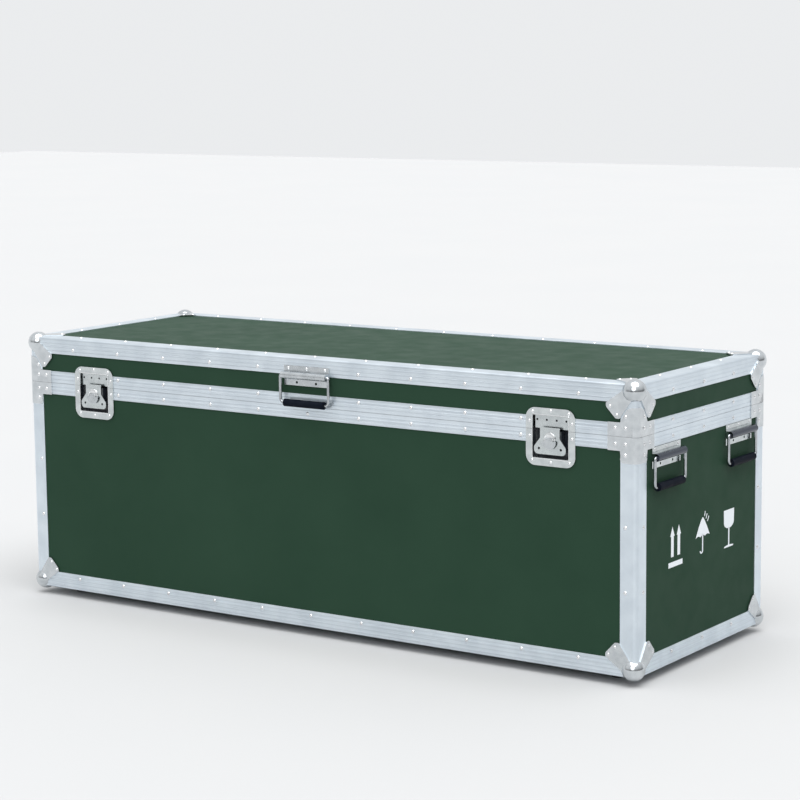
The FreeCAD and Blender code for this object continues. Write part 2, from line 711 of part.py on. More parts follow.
def latch_wing(name, sign):
    """Folding wing on the cam's axle, folded flat and hanging down."""
    centre, knob = f"{sign}latch_offset", f"{SEAM} - knob_below"
    axle_depth = f"{FRONT} - cover_proud - 2.9"
    neck, wide, tail = 6.2, 12.5, -16.0
    body = new_body(f"{name}_wing")
    loop = outline(
        [(-neck, 0), (-neck, -2.9), (-wide, -3.1, 1.5), (-wide, tail, 11.2), (wide, tail, 11.2)]
        + [(wide, -3.1, 1.5), (neck, -2.9), (neck, 0)]
    )
    drawing = sketch(body, f"{name}_wing_sketch", "XZ_Plane", loop, offset=NUMBER["cover_proud"] + 2.1)
    pad(body, drawing, 1.6)
    place(body, centre, FRONT, knob)
    barrel = rod(f"{name}_barrel", "x", 1.9, (f"{centre} - 6.3", f"{centre} + 6.3"), (axle_depth, knob))
    bore_radius = "wing_axle + running_gap"
    bore = rod(f"{name}_bore", "x", bore_radius, (f"{centre} - 7", f"{centre} + 7"), (axle_depth, knob))
    node(cut(f"{name}_wing_bored", fuse(f"{name}_wing_fused", body, barrel), bore), f"latch_wing_{name}")


def latch_strike(name, sign):
    """Strike on the lid's pan floor, with a ledge that the hook pulls down on, behind a keeper plate."""
    centre = f"{sign}latch_offset"
    back = f"{FRONT} + pan_depth"
    plate = (f"{back} - strike_sheet", back)
    wide = (f"{centre} - 20", f"{centre} + 20")
    low, window_low, window_high, high = [f"{SEAM} + {rise}" for rise in (1.5, 3.5, 10, 19.5)]
    pieces = [
        box(f"{name}_ledge", wide, (f"{back} - 2.5", back), (low, window_low)),
        box(f"{name}_window_left", (wide[0], f"{centre} - 12.6"), plate, (window_low, window_high)),
        box(f"{name}_window_right", (f"{centre} + 12.6", wide[1]), plate, (window_low, window_high)),
        box(f"{name}_strike_top", wide, plate, (window_high, high)),
    ]
    left, right = f"{centre} - keeper_half_width", f"{centre} + keeper_half_width"
    rise = (low, f"{SEAM} + pan_above - 1")
    front = (f"{FRONT} + keeper_depth", f"{FRONT} + keeper_depth + strike_sheet")
    side = (front[1], back)
    keeper = box(f"{name}_keeper", (left, right), front, rise)
    through = (f"{FRONT} + keeper_depth - 1", f"{FRONT} + keeper_depth + strike_sheet + 1")
    holes = [
        rod(f"{name}_keeper_hole", "y", 1.8, through, (f"{centre} + ({x})", f"{SEAM} + 15"))
        for x in (-26.5, -9, 9, 26.5)
    ]
    pieces += [
        cut(f"{name}_keeper_bored", keeper, *holes),
        box(f"{name}_keeper_left", (left, f"{left} + strike_sheet"), side, rise),
        box(f"{name}_keeper_right", (f"{right} - strike_sheet", right), side, rise),
    ]
    return pieces


# ---------------------------------------------------------------- handles


def handle_plate(name):
    """Handle plate with its rolled barrel: barrel axis on the local X axis, base surface behind it."""
    above, below, sheet_thickness = NUMBER["handle_above"], NUMBER["handle_below"], NUMBER["handle_sheet"]
    radius, stand_off = NUMBER["barrel_radius"], NUMBER["handle_stand"]
    front = stand_off - sheet_thickness
    body = new_body(name + "_sheet")
    section = [
        Part.LineSegment(Vector(stand_off, -below, 0), Vector(front, -below, 0)),
        Part.LineSegment(Vector(front, -below, 0), Vector(front, -radius, 0)),
        Part.LineSegment(Vector(front, -radius, 0), Vector(0, -radius, 0)),
        Part.Arc(Vector(0, -radius, 0), Vector(-radius, 0, 0), Vector(0, radius, 0)),
        Part.LineSegment(Vector(0, radius, 0), Vector(front, radius, 0)),
        Part.LineSegment(Vector(front, radius, 0), Vector(front, above, 0)),
        Part.LineSegment(Vector(front, above, 0), Vector(stand_off, above, 0)),
        Part.LineSegment(Vector(stand_off, above, 0), Vector(stand_off, -below, 0)),
    ]
    bore = circle(0, 0, NUMBER["bail_wire"] + NUMBER["running_gap"])
    drawing = sketch(body, name + "_section", "YZ_Plane", section, bore)
    pad(body, drawing, "2*handle_half_width", both_ways=True)
    through = ("handle_stand - handle_sheet - 1", "handle_stand + 1")
    holes = [rod(name + "_hole", "y", 2.2, through, (x, -12.4)) for x in (-20, 20)]
    return cut(name + "_bored", body, *holes)


def bail(name):
    """Bent wire of the handle, its inturned ends in the barrel."""
    half, drop, bend = NUMBER["bail_half_width"], NUMBER["bail_drop"], NUMBER["bail_bend"]
    wire, end = NUMBER["bail_wire"], 24.0
    body = new_body(name)
    corners = [(half, 0), (half, -drop), (-half, -drop), (-half, 0)]
    tight = 3.2
    bends = [tight, bend, bend, tight]
    path = [(end, 0), *[(*corner, turn) for corner, turn in zip(corners, bends)], (-end, 0)]
    closed = outline([(corner[0], corner[1], *corner[2:]) for corner in path])
    route = closed[:-1]
    spine = sketch(body, name + "_path", "XZ_Plane", route)
    profile = sketch(body, name + "_section", "YZ_Plane", circle(0, 0, wire), offset=end)
    sweep = body.newObject("PartDesign::AdditivePipe", name + "_sweep")
    sweep.Profile = profile
    sweep.Spine = (spine, [f"Edge{count}" for count in range(1, len(route) + 1)])
    sweep.Transition = 0
    return body


def grip(name):
    """Moulded rubber grip on the lower bar of the bail."""
    body = new_body(name)
    rings = [circle(0, 0, NUMBER["grip_radius"]), circle(0, 0, NUMBER["bail_wire"])]
    drawing = sketch(body, name + "_section", "YZ_Plane", *rings)
    pad(body, drawing, "2*grip_half_length", both_ways=True)
    drawing.AttachmentOffset = Placement(Vector(0, -NUMBER["bail_drop"], 0), Rotation())
    return body


def handle(name, quarter_turns, x, y, z):
    """A whole drop handle on one face: plate, bail and grip in one place."""
    for build, piece in ((handle_plate, "plate"), (bail, "bail"), (grip, "grip")):
        stand(node(build(f"{name}_{piece}"), f"{name}_{piece}"), quarter_turns, x, y, z)


# ---------------------------------------------------------------- hinges, feet and rivets


def hinge_leaf(name, x, side, spans):
    """One leaf with its knuckles; side is + for the lid's leaf and - for the base's."""
    axis_y = f"{BACK} + hinge_stand"
    pieces = []
    near, far = f"{SEAM} {side} (hinge_knuckle + 0.6)", f"{SEAM} {side} hinge_leaf"
    z = (near, far) if side == "+" else (far, near)
    width = (f"{x} - hinge_half_width", f"{x} + hinge_half_width")
    pieces.append(box(name + "_sheet", width, (BACK, f"{BACK} + 2"), z))
    for count, (low, high) in enumerate(spans):
        span = (f"{x} + ({low})", f"{x} + ({high})")
        pieces.append(rod(f"{name}_knuckle{count}", "x", "hinge_knuckle", span, (axis_y, SEAM)))
        tip = f"{SEAM} {side} (hinge_knuckle + 2)"
        reach = (SEAM, tip) if side == "+" else (tip, SEAM)
        pieces.append(box(f"{name}_web{count}", span, (f"{BACK} + 0.2", f"{BACK} + 3"), reach))
    whole = (f"{x} - 40", f"{x} + 40")
    bore = rod(name + "_bore", "x", "hinge_pin + running_gap", whole, (axis_y, SEAM))
    return cut(name, fuse(name + "_fused", *pieces), bore)


def hinges():
    """Three butt hinges on the back, each with two base knuckles and one lid knuckle."""
    places = {"left": "-hinge_offset", "middle": "0", "right": "hinge_offset"}
    third = "hinge_half_width/3"
    outer = [("-hinge_half_width", f"-{third} - 0.2"), (f"{third} + 0.2", "hinge_half_width")]
    inner = [(f"-{third}", third)]
    base = [hinge_leaf(f"base_leaf_{name}", x, "-", outer) for name, x in places.items()]
    lid = [hinge_leaf(f"lid_leaf_{name}", x, "+", inner) for name, x in places.items()]
    pins = [
        rod(
            f"pin_{name}",
            "x",
            "hinge_pin",
            (f"{x} - hinge_half_width + 1", f"{x} + hinge_half_width - 1"),
            (f"{BACK} + hinge_stand", SEAM),
        )
        for name, x in places.items()
    ]
    node(group("base_leaves", *base), "hinge_base_leaves")
    node(group("lid_leaves", *lid), "hinge_lid_leaves")
    node(group("pins", *pins), "hinge_pins")


def feet():
    """Rubber feet with a countersunk screw each."""
    x, y = f"{RIGHT} - foot_inset_x", f"{FRONT} + foot_inset_y"
    block = rod("foot_block", "z", "foot_radius", (0, "foot_height + skin"), (x, y))
    recess = rod("foot_recess", "z", 6, (-1, 5), (x, y))
    hole = rod("foot_hole", "z", 2.2, (4, 20), (x, y))
    node(four_corners("feet", cut("foot", block, recess, hole)), "rubber_feet")
    head = rod("screw_head", "z", 4.5, (2.5, 5), (x, y))
    shank = rod("screw_shank", "z", 2.2, (4, 24), (x, y))
    node(four_corners("screws", fuse("screw", head, shank)), "foot_screws")


def rivet_shape(scale=1.0):
    """One rivet: domed head in front of z = 0, shank behind it, axis along +z."""
    head, rise = NUMBER["rivet_head"] * scale, NUMBER["rivet_rise"] * scale
    shank, grip_length = NUMBER["rivet_shank"] * scale, NUMBER["rivet_grip"]
    top, rim = Vector(0, 0, rise), Vector(head, 0, 0)
    bulge = Vector(head * 0.62, 0, rise * 0.78)
    profile = Part.Wire(
        [
            Part.Arc(top, bulge, rim).toShape(),
            Part.LineSegment(rim, Vector(shank, 0, 0)).toShape(),
            Part.LineSegment(Vector(shank, 0, 0), Vector(shank, 0, -grip_length)).toShape(),
            Part.LineSegment(Vector(shank, 0, -grip_length), Vector(0, 0, -grip_length)).toShape(),
            Part.LineSegment(Vector(0, 0, -grip_length), top).toShape(),
        ]
    )
    return Part.Face(profile).revolve(Vector(), Vector(0, 0, 1), 360)


def rivet_group(name, rivets):
    """Rivets at (x, y, z, outward direction, size) as one node."""
    copies = []
    for x, y, z, outward, scale in rivets:
        copy = rivet_shape(scale)
        copy.Placement = Placement(Vector(x, y, z), Rotation(Vector(0, 0, 1), Vector(*outward)))
        copies.append(copy)
    bundle = doc.addObject("Part::Feature", name)
    bundle.Shape = Part.makeCompound(copies)
    return node(bundle, name)


X_END, Y_FRONT, Y_BACK = number(RIGHT), number(FRONT), number(BACK)
Z_UNDER, Z_OVER, Z_SEAM = number(UNDER), number(OVER), number(SEAM)
Y_MIDDLE = NUMBER["body_shift"]
LONG_ROW = [NUMBER["rivet_pitch"] * step for step in range(-5, 6)]
FLANGE_RIVETS = [(50.0, 34.0), (38.0, 47.0)]
SHORT_ROW = [-NUMBER["rivet_pitch"], 0.0, NUMBER["rivet_pitch"]]
NORMALS = {"front": (0, -1, 0), "back": (0, 1, 0), "left": (-1, 0, 0), "right": (1, 0, 0)}


def face_point(face, along, z, proud=0.0):
    """A point on an upright face: along it from its middle, at height z, proud of the extrusions."""
    if face in ("front", "back"):
        return (along, Y_FRONT - proud if face == "front" else Y_BACK + proud, z)
    return (X_END + proud if face == "right" else -X_END - proud, Y_MIDDLE + along, z)


def row_rivets(level, blocked=()):
    """A row of rivets round the four faces at a level, without the blocked (face, low, high) stretches."""
    rivets = []
    for face, normal in NORMALS.items():
        for along in LONG_ROW if face in ("front", "back") else SHORT_ROW:
            if any(face == one and low < along < high for one, low, high in blocked):
                continue
            rivets.append((*face_point(face, along, level), normal, 1.0))
    return rivets


def flat_rivets(level, normal):
    """Rivets through the legs that lie on the top or bottom face."""
    line = NUMBER["flat_rivet_line"]
    rivets = [(along, y, level, normal, 1.0) for along in LONG_ROW for y in (Y_FRONT + line, Y_BACK - line)]
    rivets += [
        (x, Y_MIDDLE + along, level, normal, 1.0) for along in SHORT_ROW for x in (line - X_END, X_END - line)
    ]
    return rivets


def corner_rivets(places, proud, scale=1.0):
    """Rivets given as (distance from the corner, height) on both faces at all four corners."""
    rivets = []
    for face, normal in NORMALS.items():
        half = X_END if face in ("front", "back") else NUMBER["case_depth"] / 2
        for distance, level in places:
            for along in (distance - half, half - distance):
                rivets.append((*face_point(face, along, level, proud), normal, scale))
    return rivets


def ball_flat_rivets(level, normal):
    """The two rivets of each ball corner flange on the top or bottom face."""
    rivets = []
    for across, down in FLANGE_RIVETS:
        for x in (across - X_END, X_END - across):
            for y in (Y_FRONT + down, Y_BACK - down):
                rivets.append((x, y, level, normal, 0.8))
    return rivets


def latch_rivets(places, depth, scale):
    """Rivets at (x from the latch's middle, z from the seam), on a surface behind the case face."""
    return [
        (side * NUMBER["latch_offset"] + x, Y_FRONT + depth, Z_SEAM + z, (0, -1, 0), scale)
        for side in (-1, 1)
        for x, z in places
    ]


def handle_rivets(face, along, level, proud):
    """Three rivets through the upper strip of a handle plate."""
    rivets = []
    for offset in (-38, 0, 38):
        point = face_point(face, along + offset, Z_UNDER + level + 11.2, proud)
        rivets.append((*point, NORMALS[face], 0.85))
    return rivets


def hinge_rivets(rise):
    """Three rivets through each hinge leaf at one side of the seam."""
    return [
        (side * NUMBER["hinge_offset"] + along, Y_BACK + 2, Z_SEAM + rise, (0, 1, 0), 0.8)
        for side in (-1, 0, 1)
        for along in (-22, 0, 22)
    ]


def blocked_stretches():
    """Stretches of the front and back faces where latches and hinges take the rivets' place."""
    latch, hinge = NUMBER["latch_offset"], NUMBER["hinge_offset"]
    latch_half, hinge_half = NUMBER["dish_half_width"] + 7, NUMBER["hinge_half_width"] + 3
    stretches = [("front", side * latch - latch_half, side * latch + latch_half) for side in (-1, 1)]
    return stretches + [("back", side * hinge - hinge_half, side * hinge + hinge_half) for side in (-1, 0, 1)]


def base_rivets():
    rivets = row_rivets(Z_UNDER + NUMBER["edge_rivet_line"])
    rivets += row_rivets(Z_SEAM - 12.0, blocked_stretches())
    rivets += flat_rivets(Z_UNDER, (0, 0, -1))
    rivets += corner_rivets([(21, Z_UNDER + 135), (21, Z_UNDER + 238)], 0.0)
    rivets += corner_rivets([(39, Z_SEAM - 12), (21, Z_SEAM - 12), (21, Z_SEAM - 29)], NUMBER["brace_sheet"])
    flange_places = [(across, Z_UNDER + down) for across, down in FLANGE_RIVETS]
    rivets += corner_rivets(flange_places, NUMBER["flange_sheet"], 0.8)
    rivets += ball_flat_rivets(Z_UNDER - NUMBER["flange_sheet"], (0, 0, -1))
    dish_places = [(-39, -12), (39, -12), (-34, -50.5), (0, -52), (34, -50.5)]
    rivets += latch_rivets(dish_places, -NUMBER["dish_sheet"], 0.85)
    for face in ("left", "right"):
        for side in (-1, 1):
            along = side * NUMBER["side_handle_offset"]
            rivets += handle_rivets(face, along, NUMBER["side_handle_level"], 1.5 - NUMBER["skin"])
    rivets += hinge_rivets(-13.0)
    rivet_group("base_rivets", rivets)


def lid_rivets():
    blocked_handle = [("front", -60, 60)]
    rivets = row_rivets(Z_OVER - NUMBER["edge_rivet_line"], blocked_handle)
    rivets += row_rivets(Z_SEAM + 14.5, blocked_stretches() + blocked_handle)
    rivets += flat_rivets(Z_OVER, (0, 0, 1))
    rivets += corner_rivets([(39, Z_SEAM + 13), (21, Z_SEAM + 13), (21, Z_SEAM + 31)], NUMBER["brace_sheet"])
    flange_places = [(across - 2, Z_OVER - down - 2) for across, down in FLANGE_RIVETS]
    rivets += corner_rivets(flange_places, NUMBER["flange_sheet"], 0.8)
    rivets += ball_flat_rivets(Z_OVER + NUMBER["flange_sheet"], (0, 0, 1))
    dish_places = [(-39, 12), (39, 12), (-33, 27.5), (0, 30), (33, 27.5)]
    rivets += latch_rivets(dish_places, -NUMBER["dish_sheet"], 0.85)
    rivets += handle_rivets("front", 0, NUMBER["front_handle_level"], 1.5)
    rivets += hinge_rivets(13.0)
    rivet_group("lid_rivets", rivets)


# ---------------------------------------------------------------- the case


def base():
    pans = f"{SEAM} - pan_below - dish_clear"
    holes = latch_openings("base", pans, f"{SEAM} + 1")
    walls("base", f"{UNDER} + skin", f"{SEAM} - seam_gap/2 - rim_web", holes)
    deck("base_floor_panel", f"{UNDER} + skin", f"{UNDER} + skin + ply")
    low, high = f"{UNDER} + skin + ply", f"{SEAM} - rim_inner_leg - 1"
    top = f"({low} + lining)"
    foam("base_lining", (low, top), (top, high), (pans, high), (top, pans))
    edge_set("bottom_edge", UNDER, overturn=False)
    rim_holes = latch_openings("tongue_rim", f"{SEAM} - 60", f"{SEAM} + 10")
    rim_set("tongue_rim", tongue_section, f"{SEAM} - seam_gap/2", rim_holes)
    post = place(corner_post("post", "seam_level - rim_leg - seam_gap/2 - 0.05"), RIGHT, FRONT, UNDER)
    node(four_corners("posts", post), "corner_posts")
    corner = place(ball_corner("base_ball"), RIGHT, FRONT, UNDER)
    node(four_corners("base_balls", corner), "base_ball_corners")
    brace = seam_brace("base_brace", 41.0, 22.0, (26.0, 30.0), 29.0)
    stand(brace, 0, RIGHT, FRONT, f"{SEAM} - seam_gap/2")
    upside_down = doc.addObject("Part::Mirroring", "base_brace_down")
    upside_down.Source = brace
    upside_down.Normal = Vector(0, 0, 1)
    upside_down.Base = Vector(0, 0, Z_SEAM - NUMBER["seam_gap"] / 2)
    node(four_corners("base_braces", upside_down), "base_corner_braces")


def lid():
    pans = f"{SEAM} + pan_above + dish_clear"
    holes = latch_openings("lid", f"{SEAM} - 1", pans)
    walls("lid", f"{SEAM} + seam_gap/2 + groove_web", f"{OVER} - skin", holes)
    deck("lid_top_panel", f"{OVER} - skin - ply", f"{OVER} - skin")
    low, high = f"{SEAM} + rim_inner_leg + 1", f"{OVER} - skin - ply"
    top = f"({high} - lining)"
    foam("lid_lining", (top, high), (low, top), (low, pans), (pans, top))
    edge_set("top_edge", OVER, overturn=True)
    rim_holes = latch_openings("groove_rim", f"{SEAM} - 10", f"{SEAM} + 60")
    rim_set("groove_rim", groove_section, f"{SEAM} + seam_gap/2", rim_holes)
    height = "case_height - seam_level - rim_leg - seam_gap/2 - 0.05"
    post = place(corner_post("lid_post", height), RIGHT, FRONT, 0)
    node(four_corners("lid_posts", raised("lid_post_up", post)), "lid_corner_posts")
    lower = place(ball_corner("lid_ball"), RIGHT, FRONT, 0)
    node(four_corners("lid_balls", raised("lid_ball_up", lower)), "lid_ball_corners")
    brace = seam_brace("lid_brace", 46.0, 22.0, (9.0, 19.0), 25.0)
    stand(brace, 0, RIGHT, FRONT, f"{SEAM} + seam_gap/2")
    node(four_corners("lid_braces", brace), "lid_corner_braces")


def latches():
    strikes, keeper_dishes = [], []
    for name, sign in (("left", "-"), ("right", "+")):
        keeper_dishes.append(halves(name, dish(name, sign), sign))
        latch_cover(name, sign)
        latch_hook(name, sign)
        latch_cam(name, sign)
        latch_wing(name, sign)
        strikes += latch_strike(name, sign)
    node(group("keepers", *keeper_dishes), "keeper_dishes")
    node(group("strikes", *strikes), "latch_strikes")


def handles():
    handle("front_handle", 0, 0, f"{FRONT} - handle_stand", f"{UNDER} + front_handle_level")
    level = f"{UNDER} + side_handle_level"
    stand_off = "(handle_stand - skin)"
    for place_name, side in (("front", "-"), ("back", "+")):
        y = f"body_shift {side} side_handle_offset"
        handle(f"right_{place_name}_handle", 1, f"{RIGHT} + {stand_off}", y, level)
        handle(f"left_{place_name}_handle", -1, f"-{RIGHT} - {stand_off}", y, level)


def check_and_write():
    doc.recompute()
    for thing in doc.Objects:
        if "Invalid" in thing.State or "Error" in thing.State:
            raise RuntimeError(f"{thing.Name} ({thing.Label}) failed: {thing.State}")
    for thing in nodes:
        if thing.Shape.isNull() or not thing.Shape.isValid() or not thing.Shape.Solids:
            raise RuntimeError(f"{thing.Label} has no valid solid")
    os.makedirs("parts", exist_ok=True)
    for old in os.listdir("parts"):
        os.remove(os.path.join("parts", old))
    for thing in nodes:
        thing.Shape.exportStep(os.path.join("parts", thing.Label + ".step"))
        print(f"{thing.Label}: {len(thing.Shape.Solids)} solids, {thing.Shape.Volume / 1000:.1f} cm3")
    print(len(nodes), "nodes")


base()
lid()
latches()
handles()
hinges()
feet()
base_rivets()
lid_rivets()
check_and_write()
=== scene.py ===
"""The looks of the transport case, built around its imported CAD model, in metres in the same frame."""

import math

import bmesh
import bpy
from mathutils import Matrix, Vector

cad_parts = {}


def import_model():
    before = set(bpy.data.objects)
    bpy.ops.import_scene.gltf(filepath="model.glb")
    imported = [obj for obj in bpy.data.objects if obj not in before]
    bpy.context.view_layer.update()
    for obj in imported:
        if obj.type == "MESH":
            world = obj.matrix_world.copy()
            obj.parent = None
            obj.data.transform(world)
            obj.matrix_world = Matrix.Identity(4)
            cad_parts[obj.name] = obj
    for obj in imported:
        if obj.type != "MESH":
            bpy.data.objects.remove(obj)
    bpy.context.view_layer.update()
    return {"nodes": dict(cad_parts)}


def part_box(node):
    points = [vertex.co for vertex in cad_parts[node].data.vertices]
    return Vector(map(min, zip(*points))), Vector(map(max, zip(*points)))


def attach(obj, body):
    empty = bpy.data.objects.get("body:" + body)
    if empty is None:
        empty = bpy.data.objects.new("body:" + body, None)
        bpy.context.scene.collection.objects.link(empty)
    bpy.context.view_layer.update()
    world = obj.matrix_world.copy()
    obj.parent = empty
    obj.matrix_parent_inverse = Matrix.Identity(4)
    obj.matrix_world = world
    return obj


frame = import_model()
nodes = frame["nodes"]

MM = 0.001

# The Mix node's colour sockets share their names with its other types, so they are taken by number
COLOUR_A, COLOUR_B, COLOUR_RESULT = 6, 7, 2

# Planes of the closed case, read from the frame
LEFT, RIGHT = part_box("bottom_edges_short")[0].x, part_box("bottom_edges_short")[1].x
FRONT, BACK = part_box("bottom_edges_long")[0].y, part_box("bottom_edges_long")[1].y
UNDER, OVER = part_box("bottom_edges_long")[0].z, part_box("top_edges_long")[1].z
SIDE_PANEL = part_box("base_right_panel")[1].x


# ---------------------------------------------------------------- material helpers

WORN_WIDTH = 1.2 * MM


class Shader:
    """A small wrapper for one node tree with a Principled BSDF."""

    def __init__(self, name):
        self.material = bpy.data.materials.new(name)
        self.material.use_nodes = True
        self.tree = self.material.node_tree
        self.surface = self.tree.nodes["Principled BSDF"]
        self.place = self.node("ShaderNodeTexCoord").outputs["Object"]

    def node(self, kind, **settings):
        made = self.tree.nodes.new(kind)
        for key, value in settings.items():
            setattr(made, key, value)
        return made

    def link(self, source, target):
        self.tree.links.new(source, target)

    def set(self, **values):
        for key, value in values.items():
            self.surface.inputs[key.replace("_", " ")].default_value = value

    def stretched(self, scale):
        """The object's coordinates, scaled along each axis."""
        mapping = self.node("ShaderNodeMapping")
        mapping.inputs["Scale"].default_value = scale
        self.link(self.place, mapping.inputs["Vector"])
        return mapping.outputs["Vector"]

    def noise(self, scale, detail, stretch=(1, 1, 1), roughness=0.5):
        made = self.node("ShaderNodeTexNoise")
        made.inputs["Scale"].default_value = scale
        made.inputs["Detail"].default_value = detail
        made.inputs["Roughness"].default_value = roughness
        self.link(self.stretched(stretch), made.inputs["Vector"])
        return made.outputs["Fac"]

    def drive(self, name, source):
        """Feeds one of the surface's inputs."""
        self.link(source, self.surface.inputs[name])

    def ramp(self, source, stops):
        """A ramp of greys; stops are (position, grey)."""
        made = self.node("ShaderNodeValToRGB")
        elements = made.color_ramp.elements
        while len(elements) < len(stops):
            elements.new(0.5)
        for element, (position, grey) in zip(elements, stops):
            element.position = position
            element.color = (grey, grey, grey, 1.0)
        self.link(source, made.inputs["Fac"])
        return made.outputs["Color"]

    def mix(self, factor, first, second):
        """Two colours mixed; each may be a socket, and so may the factor."""
        made = self.node("ShaderNodeMix", data_type="RGBA")
        sockets = made.inputs["Factor"], made.inputs[COLOUR_A], made.inputs[COLOUR_B]
        for socket, value in zip(sockets, (factor, first, second)):
            if isinstance(value, (int, float)):
                socket.default_value = value
            elif isinstance(value, tuple):
                socket.default_value = (*value, 1.0)
            else:
                self.link(value, socket)
        return made.outputs[COLOUR_RESULT]

    def math(self, operation, first, second):
        made = self.node("ShaderNodeMath", operation=operation)
        for socket, value in zip(made.inputs, (first, second)):
            if isinstance(value, (int, float)):
                socket.default_value = value
            else:
                self.link(value, socket)
        return made.outputs[0]

    def bump(self, height, strength, distance, under=None):
        made = self.node("ShaderNodeBump")
        made.inputs["Strength"].default_value = strength
        made.inputs["Distance"].default_value = distance
        self.link(height, made.inputs["Height"])
        if under is not None:
            self.link(under, made.inputs["Normal"])
        return made.outputs["Normal"]

    def between(self, source, low, high):
        """0 up to low, 1 from high, and an even rise between them."""
        reach = self.node("ShaderNodeMapRange")
        self.link(source, reach.inputs["Value"])
        reach.inputs["From Min"].default_value, reach.inputs["From Max"].default_value = low, high
        return reach.outputs["Result"]

    def along(self, axis):
        """The object's coordinate along one axis."""
        split = self.node("ShaderNodeSeparateXYZ")
        self.link(self.place, split.inputs[0])
        return split.outputs[axis]

    def facing(self, axis):
        """How squarely the surface faces along one axis."""
        split = self.node("ShaderNodeSeparateXYZ")
        self.link(self.node("ShaderNodeTexCoord").outputs["Normal"], split.inputs[0])
        return self.math("ABSOLUTE", split.outputs[axis], 0)

    def grooves(self, axis, pitch):
        """1 in fine grooves that repeat along one axis, and 0 between them."""
        turn = self.math("FRACT", self.math("MULTIPLY", self.along(axis), 1 / pitch), 0)
        return self.ramp(turn, [(0.0, 1.0), (0.10, 0.8), (0.20, 0.0), (0.80, 0.0), (0.90, 0.8), (1.0, 1.0)])

    def worn_edges(self):
        """1 on edges and 0 elsewhere, for wear."""
        bevel = self.node("ShaderNodeBevel", samples=4)
        bevel.inputs["Radius"].default_value = WORN_WIDTH
        geometry = self.node("ShaderNodeNewGeometry")
        product = self.node("ShaderNodeVectorMath", operation="DOT_PRODUCT")
        self.link(bevel.outputs["Normal"], product.inputs[0])
        self.link(geometry.outputs["Normal"], product.inputs[1])
        return self.ramp(product.outputs["Value"], [(0.0, 1.0), (0.93, 1.0), (0.995, 0.0)])


def laminate():
    """Dark green phenolic laminate with a fine pebbled emboss and faint scuffs."""
    shader = Shader("green_laminate")
    cloud = shader.noise(7.0, 3.0)
    deep, pale, scuffed = (0.0195, 0.0485, 0.0297), (0.0228, 0.0545, 0.0336), (0.09, 0.13, 0.11)
    base = shader.mix(shader.ramp(cloud, [(0.3, 0.0), (0.7, 1.0)]), deep, pale)
    scuffs = shader.ramp(shader.noise(160.0, 6.0, (1.0, 1.0, 0.08), 0.65), [(0.66, 0.0), (0.80, 1.0)])
    sparse = shader.ramp(shader.noise(9.0, 2.0), [(0.52, 0.0), (0.68, 1.0)])
    marks = shader.math("MULTIPLY", scuffs, sparse)
    shader.drive("Base Color", shader.mix(shader.math("MULTIPLY", marks, 0.25), base, scuffed))
    pebble = shader.noise(1500.0, 2.0)
    broad = shader.noise(14.0, 2.0)
    shader.drive("Normal", shader.bump(pebble, 0.22, 0.00012, shader.bump(broad, 0.10, 0.002)))
    rough = shader.ramp(shader.noise(30.0, 5.0), [(0.3, 0.48), (0.7, 0.60)])
    shader.drive("Roughness", rough)
    shader.set(Specular_IOR_Level=0.06)
    return shader.material


RIB_PITCH = 0.0066
# How much painted shade darkens the ribs' grooves, their bump, and the painted shade's colour
RIB_SHADE, RIB_BUMP, RIB_SHADE_COLOUR = 0.30, 0.5, (0.16, 0.19, 0.23)
EDGE_WEAR = 0.25
# The colour of the painted shade deep in recesses
PAINTED_SHADE_TONE = (0.006, 0.009, 0.018)
# The colour and share of the painted dark reflection on the side handles' barrels
PAINTED_REFLECTION_TONE, PAINTED_REFLECTION_SHARE = (0.030, 0.038, 0.060), 0.93


